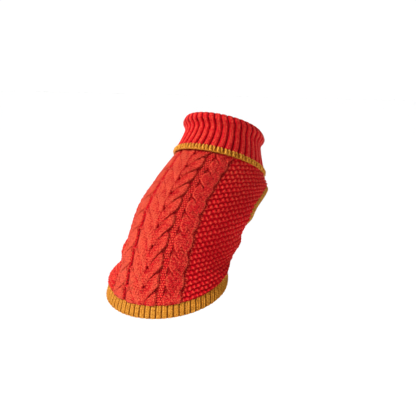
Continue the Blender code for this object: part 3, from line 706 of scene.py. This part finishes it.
def layMoss(relief, d, station, onLeft):
    form = backLook["moss"]
    bead = mossBeads(d, station)
    ground, added = form["tone"]
    leftGround, leftAdded = form["leftLitTone"]
    # the dark ground between the beads is painted shade, and the left half is painted lighter as painted
    # light
    tone = added * bead + ground + falling(station, form["neckTone"])
    paste(relief, d > form["from"], height=form["height"] * bead, u=relief["u"] * form["narrower"],
          tone=np.where(onLeft, leftGround + leftAdded * bead, tone),
          fine=np.where(onLeft, form["leftFine"], form["fine"]))


def layHoles(relief, distance, station, rows):
    form, pitch = backLook["hole"], backLook["strand"]["pitch"]
    t = (rows - backLook["strand"]["firstHook"] + form["above"]) % pitch
    t = np.where(t > pitch / 2, t - pitch, t)
    side = distance - form["across"] - form["slitLean"] * np.clip(t, -form["slitLength"], 0)
    hole = ridge(side + form["lean"] * t, 0, form["wide"]) * ridge(t, 0, form["high"])
    slit = ridge(side, 0, form["slitWidth"]) * rise(t + form["slitLength"], form["slitSpan"]) * (t < 0)
    slitShare = form["slit"] - ramped(station, form["slitFade"])
    dimple = ridge(distance, *form["dimpleAcross"]) * ridge(t, *form["dimpleDown"])
    sinkIn(relief, np.clip(hole + slitShare * slit + form["dimple"] * dimple, 0, 1), form)


def backRelief(distance, station):
    # height, tone of painted shade and highlight, share of purl, strength of the stitches, stitch u and v
    look, purl = backLook, backLook["purl"]
    station = wavered(station, distance, look["rowWaves"])
    d = np.abs(wavered(distance, station, look["columnWaves"]))
    rows = pulled(station)
    onLeft = distance < 0
    u, v = d / cloth["stitchWidth"], rows / cloth["rowHeight"]
    purlBump = bump(u, v, *cloth["purlSize"], stagger=0.5)
    # the purl's tone is painted shade, darker between the bumps
    relief = {"height": purl["ground"] + purl["bump"] * purlBump, "u": u, "v": v,
              "tone": purl["groundTone"] + purl["bumpTone"] * purlBump,
              "purl": np.ones(d.shape), "fine": np.ones(d.shape)}
    for form in (look["horseshoe"], look["rope"]):
        layCable(relief, form, d, rows, onLeft)
    fillLeft(relief, d, onLeft)
    partLeft(relief, d, station, rows, onLeft)
    layMoss(relief, d, station, onLeft)
    layHoles(relief, distance, station, rows)
    relief["height"] = relief["height"] * upFrom(look["pressed"], rise(station, look["pressedSpan"]))
    return relief


def backPlaces(stations):
    # angle and distance from the spine of each point, with columns that keep to the cables
    look, zoneEnd = backLook, backLook["moss"]["from"]
    zone = np.linspace(0, zoneEnd, look["cableColumns"] + 1)
    angleRows, distanceRows = [], []
    for station in stations:
        angles, arcs = arcTable(station)
        reach = float(np.interp(panelEdge(station, "holeBack"), angles, arcs))
        side = zoneEnd + (reach - zoneEnd) * np.linspace(0, 1, look["sideColumns"] + 1)[1:]
        half = np.concatenate([zone, side])
        distances = np.concatenate([-half[:0:-1], half])
        angleRows.append(np.sign(distances) * np.interp(np.abs(distances), arcs, angles))
        distanceRows.append(distances)
    return np.array(angleRows), np.array(distanceRows)


def backPanel():
    look = backLook
    stations = bodyStations(look["rows"])
    angle, distance = backPlaces(stations)
    station = stretchToHem(stations[:, None], angle)
    face, lift = bodyFace(angle, station)
    relief = backRelief(distance, station)
    atHem = upFrom(look["hemShare"], rise(hemStation(angle) - station, look["hemSpan"]))
    sheet = {**relief, "points": face + lift * (relief["height"] * atHem)[..., None]}
    u, v = distance / cloth["stitchWidth"], station / cloth["rowHeight"]
    inner = panelInside(face, lift, u, v, look["coarse"])
    piece = wall("backPanelKnit", sheet, inner, False, redKnit, "back_panel")


backPanel()
print("back panel laid")


# belly panel

bellyLook = {
    "columns": 72,
    "rows": 150,
    "coarse": 4,
    "flatSize": (0.117, 0.150),
    "radius": 0.052,    # stitches are counted round a tube of this size
    "waleHeight": 0.00025,
    "tone": 0.62,
}


def bellyPanel():
    look = bellyLook
    stations = bodyStations(look["rows"])
    edge = panelEdge(stations, "holeFront")
    share = np.linspace(0, 1, look["columns"] + 1)
    angle = edge[:, None] + (2 * np.pi - 2 * edge[:, None]) * share
    station = stretchToHem(stations[:, None], angle)
    face, lift = bodyFace(angle, station)
    u = (angle - np.pi) * look["radius"] / cloth["stitchWidth"]
    v = station / cloth["rowHeight"]
    wale = np.abs(u - np.floor(u) - 0.5)
    height = look["waleHeight"] * np.sin(2 * np.pi * wale)
    sheet = {"points": face + lift * height[..., None], "u": u, "v": v, "purl": np.zeros(angle.shape),
             "tone": np.full(angle.shape, look["tone"]), "fine": np.ones(angle.shape)}
    inner = panelInside(face, lift, u, v, look["coarse"])
    piece = wall("bellyPanelKnit", sheet, inner, False, redKnit, "belly_panel")


bellyPanel()
print("belly panel laid")


# ribbing

ribForm = {
    "flatness": 3.2,    # the higher, the broader a rib's top
    "sharpness": 0.72,    # the lower, the narrower the groove
    "stitches": 2,
}


def ribShape(phase):
    # 0 on the broad round top and 1 in the narrow groove at whole phases
    off = np.abs(phase - np.floor(phase) - 0.5) * 2
    return 1 - (1 - off ** ribForm["flatness"]) ** ribForm["sharpness"]


def ribAngles(form, perRib):
    # angles round the body, and the ribs counted up to each
    angle = np.linspace(0, 2 * np.pi, form["ribs"] * perRib + 1)
    return angle, angle * form["ribs"] / (2 * np.pi)


def ribbedSheet(points, phase, down, tone, fine):
    points = np.array(points)
    shape = points.shape[:2]
    return {"points": points, "u": np.broadcast_to(phase * ribForm["stitches"], shape),
            "v": np.broadcast_to(down, shape), "tone": np.broadcast_to(tone, shape),
            "purl": np.zeros(shape), "fine": np.full(shape, fine)}


# roll collar

collarForm = {
    # places are shares of the way from the turned-down edge over the fold to the neck side
    "rings": (
        (0.00, -0.0050, 0.0078, 0.1068, -0.0388, 0.0510),  # turned-down edge
        (0.22, 0.0080, 0.0203, 0.1020, -0.0240, 0.0470),  # flare
        (0.42, 0.0166, 0.0312, 0.0992, -0.0060, 0.0444),  # narrowest
        (0.62, 0.0152, 0.0402, 0.1048, 0.0018, 0.0475),  # roll
        (0.72, 0.0190, 0.0456, 0.1008, 0.0104, 0.0436),  # top of the fold
        (0.80, 0.0242, 0.0436, 0.0950, 0.0106, 0.0390),  # inside lip
        (1.00, 0.0228, 0.0290, 0.0916, -0.0046, 0.0376),  # neck side
    ),
    "ribs": 38, "perRib": 12,
    "rowsTo": (0, 57, 86, 99), "rowWays": (0.0, 0.62, 0.84, 1.0),    # closest round the fold
    "grooveDepth": 0.0026,
    "shallower": (0.65, 0.50, 0.72),    # the grooves run out over the fold
    # unevenness of the grooves: share, waves round, phase, radians on the way up
    "unevenWaves": ((0.16, 3, 1.0, 0), (0.10, 7, 0.0, 5)),
    "sway": 0.035, "swayRate": 6.0,    # the ribs lean to and fro on the way up
    "edgeWay": 0.072, "edgeWave": 0.012,    # where the contrast edge ends, and its swing with the ribs
    "wayLength": 0.078,    # metres from edge to neck side along the face
    "footWay": 1.12,    # the neck seam
    # the grooves between the ribs are painted dark as painted shade
    "tone": 0.66, "grooveShade": 2.1,
    "fine": 0.50,    # half of the stitches shows on the ribs
    "thickness": 0.0026,
    # ways of the inner sheet's rows past the join, with the wall's thickness there
    "inside": ((0.24, 0.0026), (0.42, 0.0026), (0.56, 0.0026), (0.70, 0.0023), (1.0, 0.0024)),
    "insideStep": 4.0,    # stitches between them
}


def collarFace(angle, way, sink):
    form = collarForm
    swayed = angle + form["sway"] * np.sin(way * form["swayRate"])
    way, sink = np.broadcast_to(way, swayed.shape), np.broadcast_to(sink, swayed.shape)[..., None]
    return ringPoint(form["rings"], swayed, way) + ringNormal(form["rings"], swayed, way) * sink


def collarJoin(phase):
    # the join between red and contrast rows rises over each rib
    return collarForm["edgeWay"] + collarForm["edgeWave"] * (0.5 - ribShape(phase))


def collar():
    form = collarForm
    angle, phase = ribAngles(form, form["perRib"])
    groove, join = ribShape(phase), collarJoin(phase)
    ways = np.interp(np.arange(form["rowsTo"][-1] + 1), form["rowsTo"], form["rowWays"])
    way = join + (1 - join) * ways[:, None]
    grid = np.broadcast_to(angle, way.shape)
    uneven = 1 + sum(share * np.sin(count * grid + turn + climb * way)
                     for share, count, turn, climb in form["unevenWaves"])
    sink = form["grooveDepth"] * groove * (1 - ramped(way, form["shallower"])) * uneven
    foot, lift = bodyFace(angle, 0.0)
    points = np.concatenate([collarFace(grid, way, sink), (foot - lift * body["wall"])[None]])
    way = np.concatenate([way, np.full((1, len(angle)), form["footWay"])])
    tone = np.full(way.shape, form["tone"])
    # painted shade in the grooves
    tone[:-1] -= form["grooveShade"] * groove
    sheet = ribbedSheet(points, phase, way * form["wayLength"] / cloth["rowHeight"], tone, form["fine"])
    angle, phase = ribAngles(form, 2)
    rows = [collarFace(angle, *place) for place in ((form["edgeWay"], form["thickness"]), *form["inside"])]
    rows.append(bodyFace(angle, 0.0)[0])
    inner = plainSheet(rows, phase * ribForm["stitches"], np.arange(len(rows))[:, None] * form["insideStep"])
    piece = wall("collarKnit", sheet, inner, True, redKnit, "collar")


# contrast edge of the collar

collarEdgeForm = {
    # up from inside and round the turned-down end: way, sink into the wall, stitches
    "turned": ((0.020, 0.0024, 0.0), (0.004, 0.0026, 0.2), (-0.006, 0.0020, 0.4), (-0.010, 0.0010, 0.6),
               (-0.008, 0.0001, 0.8)),
    # the grooves are painted dark as painted shade
    "turnedGroove": 0.4, "turnedTone": 0.75, "turnedGrooveShade": 0.6,
    "rows": 12,
    "groove": 0.6,    # share of the collar's grooves
    "swell": 0.0007,    # round between the turned end and the join
    "slants": 2, "slantRun": 0.55, "slantSwell": 0.0008,    # slanted stitches to a rib, painted lighter on their swell and darker between as painted shade
    "stitches": (1.0, 1.9),    # after the turned rows, and from there to the join
    # painted shade in the grooves and between the slanted stitches
    "tone": 0.50, "grooveShade": 0.50, "slantShade": 0.80,
    "fine": 0.50,
    "insideWays": (0.022, 0.045, 0.070),
}


def collarEdge():
    form, depth = collarEdgeForm, collarForm["grooveDepth"]
    angle, phase = ribAngles(collarForm, collarForm["perRib"])
    groove, join = ribShape(phase), collarJoin(phase)
    slope, _ = ringSlopes(collarForm["rings"], angle, np.zeros(angle.shape))
    rows = []
    for way, sink, stitches in form["turned"]:
        face = collarFace(angle, max(way, 0.0), sink + form["turnedGroove"] * depth * groove)
        tone = form["turnedTone"] - form["turnedGrooveShade"] * groove
        rows.append((face + slope * min(way, 0.0), tone, stitches))
    first, added = form["stitches"]
    for share in np.linspace(0.0, 1.0, form["rows"]):
        slant = np.cos(2 * np.pi * (form["slants"] * phase + form["slantRun"] * share))
        swell = form["swell"] * np.sin(np.pi * share) + form["slantSwell"] * slant
        face = collarFace(angle, join * share, form["groove"] * depth * groove - swell)
        # painted shade in the grooves and between the slanted stitches
        tone = form["tone"] - form["grooveShade"] * groove + form["slantShade"] * slant
        rows.append((face, tone, first + added * share))
    points, tones, downs = zip(*rows)
    sheet = ribbedSheet(points, phase, np.array(downs)[:, None], tones, form["fine"])
    angle, phase = ribAngles(collarForm, 2)
    back = [collarFace(angle, way, collarForm["thickness"]) for way in form["insideWays"]]
    inner = plainSheet(back, phase * ribForm["stitches"], np.arange(len(back))[:, None])
    piece = wall("collarEdgeKnit", sheet, inner, True, mustardKnit, "collar_edge")


collar()
collarEdge()
print("collar turned down")


# hem rib

hemForm = {
    "ribs": 66, "perRib": 12, "rows": 22,
    "wall": 0.0028,
    "grooveDepth": 0.0011,
    "seamGroove": 0.55, "seamSpan": (0.0, 0.15),    # share of the depth at the seam
    "swell": 0.0005,
    "split": 0.0002,    # a rib's top parts in two, with painted shade in the parting
    "stitches": 5.4,    # down to the cast-off edge
    # the grooves and the parted tops are painted dark as painted shade, also round the cast-off edge
    "tone": 0.64, "grooveShade": 1.55, "splitShade": 0.30,
    "fine": 0.55,
    # round the cast-off edge to the inside, turns in radians
    "roundRows": 6, "roundReach": 0.0009, "roundStitches": 0.5,
    "roundGroove": 0.6, "roundGrooveTo": 2.0, "roundTone": 0.85, "roundGrooveShade": 0.6,
    "insideShares": (0.0, 0.5, 0.97),
}


def hemRib():
    form, length = hemForm, body["length"]
    angle, phase = ribAngles(form, form["perRib"])
    top, groove = hemStation(angle), ribShape(phase)
    split = np.cos(4 * np.pi * phase)
    rows = []
    for share in np.linspace(0, 1, form["rows"]):
        face, lift = bodyFace(angle, top + (length - top) * share)
        sink = form["grooveDepth"] * groove * upFrom(form["seamGroove"], rise(share, form["seamSpan"]))
        sink = sink - form["swell"] * np.sin(np.pi * share) + form["split"] * split
        # painted shade in the grooves and partings
        tone = form["tone"] - form["grooveShade"] * groove - form["splitShade"] * split
        rows.append((face - lift * sink[:, None], tone, share * form["stitches"]))
    face, lift = bodyFace(angle, length)
    along = unit(ringSlopes(body["rings"], angle, np.full(angle.shape, length))[0])
    middle = form["wall"] / 2
    for turn in np.linspace(0, np.pi, form["roundRows"] + 2)[1:]:
        notch = form["grooveDepth"] * form["roundGroove"] * groove * (turn < form["roundGrooveTo"])
        sink = middle - (middle - notch) * np.cos(turn)
        points = face - lift * sink[:, None] + along * (form["roundReach"] * np.sin(turn))
        # painted shade in the grooves
        tone = form["roundTone"] - form["roundGrooveShade"] * groove
        rows.append((points, tone, form["stitches"] + turn * form["roundStitches"]))
    points, tones, downs = zip(*rows)
    sheet = ribbedSheet(points, phase, np.array(downs)[:, None], tones, form["fine"])
    angle, phase = ribAngles(form, 2)
    top, back = hemStation(angle), []
    for share in form["insideShares"]:
        face, lift = bodyFace(angle, top + (length - top) * share)
        back.append(face - lift * (body["wall"] + (form["wall"] - body["wall"]) * share))
    down = np.linspace(0, form["stitches"], len(back))[:, None]
    inner = plainSheet(back, phase * ribForm["stitches"], down)
    piece = wall("hemRibKnit", sheet, inner, True, mustardKnit, "hem_rib")


hemRib()
print("hem rib knitted on")


# leg bands

legBandForm = {
    "ribs": 44, "perRib": 9, "around": 18,
    "tracePoints": 240,    # to each half of the hole's edge
    "tangentReach": 2,
    "width": 0.0062, "thickness": 0.0034,
    "squareness": 0.7,    # below 1 the section is squarer than an ellipse
    "flare": 39.0,    # degrees
    "gap": 0.0004,
    "groove": 0.22,    # share of the thickness
    "stitches": 5,
    # the grooves are painted dark as painted shade
    "tone": 0.92, "grooveShade": 0.8,
    "fine": 1.0,
}


def holeEdge(side):
    # points round a leg hole at even steps, with the outward step at each
    form, (first, last) = legBandForm, body["holeSpan"]
    spread = np.linspace(0, 1, form["tracePoints"])
    stations = first + (last - first) * (1 - np.cos(np.pi * spread)) / 2
    angles = np.concatenate([panelEdge(stations, "holeBack"), panelEdge(stations, "holeFront")[::-1]])
    face, lift = bodyFace(side * angles, np.concatenate([stations, stations[::-1]]))
    lengths = np.concatenate([[0], np.cumsum(np.linalg.norm(np.diff(face, axis=0), axis=1))])
    even = np.linspace(0, lengths[-1], form["ribs"] * form["perRib"] + 1)
    face, lift = (np.stack([np.interp(even, lengths, grid[:, k]) for k in range(3)], axis=-1)
                  for grid in (face, lift))
    face[-1], lift[-1] = face[0], lift[0]
    return face, unit(lift)


def legBand(name, side, node):
    form = legBandForm
    face, outwards = holeEdge(side)
    reach = form["tangentReach"]
    ahead = np.roll(face[:-1], -reach, axis=0) - np.roll(face[:-1], reach, axis=0)
    along = unit(np.concatenate([ahead, ahead[:1]]))
    inwards = unit(np.cross(outwards, along)) * side
    flare = math.radians(form["flare"])
    widthWay = inwards * math.cos(flare) + outwards * math.sin(flare)
    thickWay = unit(np.cross(along, widthWay)) * side
    middle = face - outwards * body["wall"] / 2 + inwards * form["gap"] + widthWay * form["width"] / 2
    phase = np.linspace(0, form["ribs"], len(face))
    pinch = 1 - form["groove"] * ribShape(phase)
    points = []
    for turn in np.linspace(0, 2 * np.pi, form["around"] + 1):
        across = form["width"] / 2 * np.sign(np.cos(turn)) * abs(np.cos(turn)) ** form["squareness"]
        up = form["thickness"] / 2 * np.sin(turn) * pinch
        points.append(middle + widthWay * across + thickWay * up[:, None])
    down = np.linspace(0, form["stitches"], len(points))[:, None]
    # painted shade in the grooves
    tone = form["tone"] - form["grooveShade"] * ribShape(phase)
    sheet = ribbedSheet(points, phase, down, tone, form["fine"])
    bm = bmesh.new()
    layGrid(bm, sheet["points"])
    piece = clothPiece(name, bm, (sheet,), True, mustardKnit, node)


legBand("legBandRightKnit", 1, "leg_band_right")
legBand("legBandLeftKnit", -1, "leg_band_left")
print("leg bands picked up")


# studio

studio = {
    "floorSize": 12,
    "floorZ": -0.460,
    "floorColour": (0.92, 0.92, 0.92),
    "floorRough": 0.9,
    "cameraAt": (0.6677, -1.0016, 0.1089),
    "forward": (-0.53934, 0.83051, -0.13917),
    "up": (-0.0758, 0.11672, 0.99027),
    "lens": 94.5,
    "sensor": 36.0,
    "clipStart": 0.01,
    "target": (0.0, -0.01, -0.06),
    "roomStrength": 0.30,    # the dim room, and the lit wall behind the part
    "wallStrength": 1.05,
    "wallFrom": 0.90,    # cosines between which the wall comes in
    "wallFull": 0.97,
    # right, up, towards the camera, watts a square metre and angle of the large key lamp
    "key": (-1.16, 0.80, 0.30, 4.6, 26.0),
    # right, up, towards the camera, size, watts
    "fill": (0.50, 0.25, 1.10, 0.80, 4.0),
}


def layFloor():
    look = studio
    bm = bmesh.new()
    bmesh.ops.create_grid(bm, x_segments=2, y_segments=2, size=look["floorSize"])
    mesh = bpy.data.meshes.new("floor")
    bm.to_mesh(mesh)
    bm.free()
    mesh.transform(Matrix.Translation((0, 0, look["floorZ"])))
    floor = bpy.data.objects.new("floor", mesh)
    bpy.context.scene.collection.objects.link(floor)
    paint = bpy.data.materials.new("studioFloor")
    paint.use_nodes = True
    shader = paint.node_tree.nodes["Principled BSDF"]
    shader.inputs["Base Color"].default_value = (*look["floorColour"], 1)
    shader.inputs["Roughness"].default_value = look["floorRough"]
    mesh.materials.append(paint)


def setCamera(forward, right):
    look = studio
    optics = bpy.data.cameras.new("camera")
    optics.lens, optics.sensor_width, optics.clip_start = look["lens"], look["sensor"], look["clipStart"]
    camera = bpy.data.objects.new("camera", optics)
    axes = Matrix((right, right.cross(forward).normalized(), -forward)).transposed()
    camera.matrix_world = Matrix.Translation(look["cameraAt"]) @ axes.to_4x4()
    bpy.context.scene.collection.objects.link(camera)
    bpy.context.scene.camera = camera


def hangLamps(right, near):
    target = Vector(studio["target"])

    def hang(name, kind, across, high, close):
        lamp = bpy.data.lights.new(name, kind)
        node = bpy.data.objects.new(name, lamp)
        node.location = target + right * across + Vector((0, 0, high)) + near * close
        node.rotation_mode = "QUATERNION"
        node.rotation_quaternion = (target - node.location).to_track_quat("-Z", "Y")
        bpy.context.scene.collection.objects.link(node)
        return lamp

    across, high, close, power, angle = studio["key"]
    key = hang("keyLight", "SUN", across, high, close)
    key.energy, key.angle = power, math.radians(angle)
    across, high, close, size, power = studio["fill"]
    fill = hang("fillLight", "AREA", across, high, close)
    fill.shape, fill.size, fill.energy = "DISK", size, power


def lightRoom(near):
    # the wall behind the part is lit, the rest of the room is dim
    look = studio
    world = bpy.data.worlds.new("studioWorld")
    world.use_nodes = True
    nodes, links = world.node_tree.nodes, world.node_tree.links
    back = nodes["Background"]
    back.inputs["Color"].default_value = (1, 1, 1, 1)
    coords = nodes.new("ShaderNodeTexCoord")
    facing = nodes.new("ShaderNodeVectorMath")
    facing.operation = "DOT_PRODUCT"
    facing.inputs[1].default_value = -near
    links.new(coords.outputs["Generated"], facing.inputs[0])
    spread = nodes.new("ShaderNodeMapRange")
    for socket, key in zip(spread.inputs[1:5], ("wallFrom", "wallFull", "roomStrength", "wallStrength")):
        socket.default_value = look[key]
    links.new(facing.outputs["Value"], spread.inputs[0])
    links.new(spread.outputs[0], back.inputs["Strength"])
    bpy.context.scene.world = world
    bpy.context.scene.view_settings.view_transform = "Standard"


def stage():
    forward = Vector(studio["forward"])
    right = forward.cross(Vector(studio["up"])).normalized()
    near = -Vector((forward.x, forward.y, 0)).normalized()
    layFloor()
    setCamera(forward, right)
    hangLamps(right, near)
    lightRoom(near)


stage()
print("studio lit")
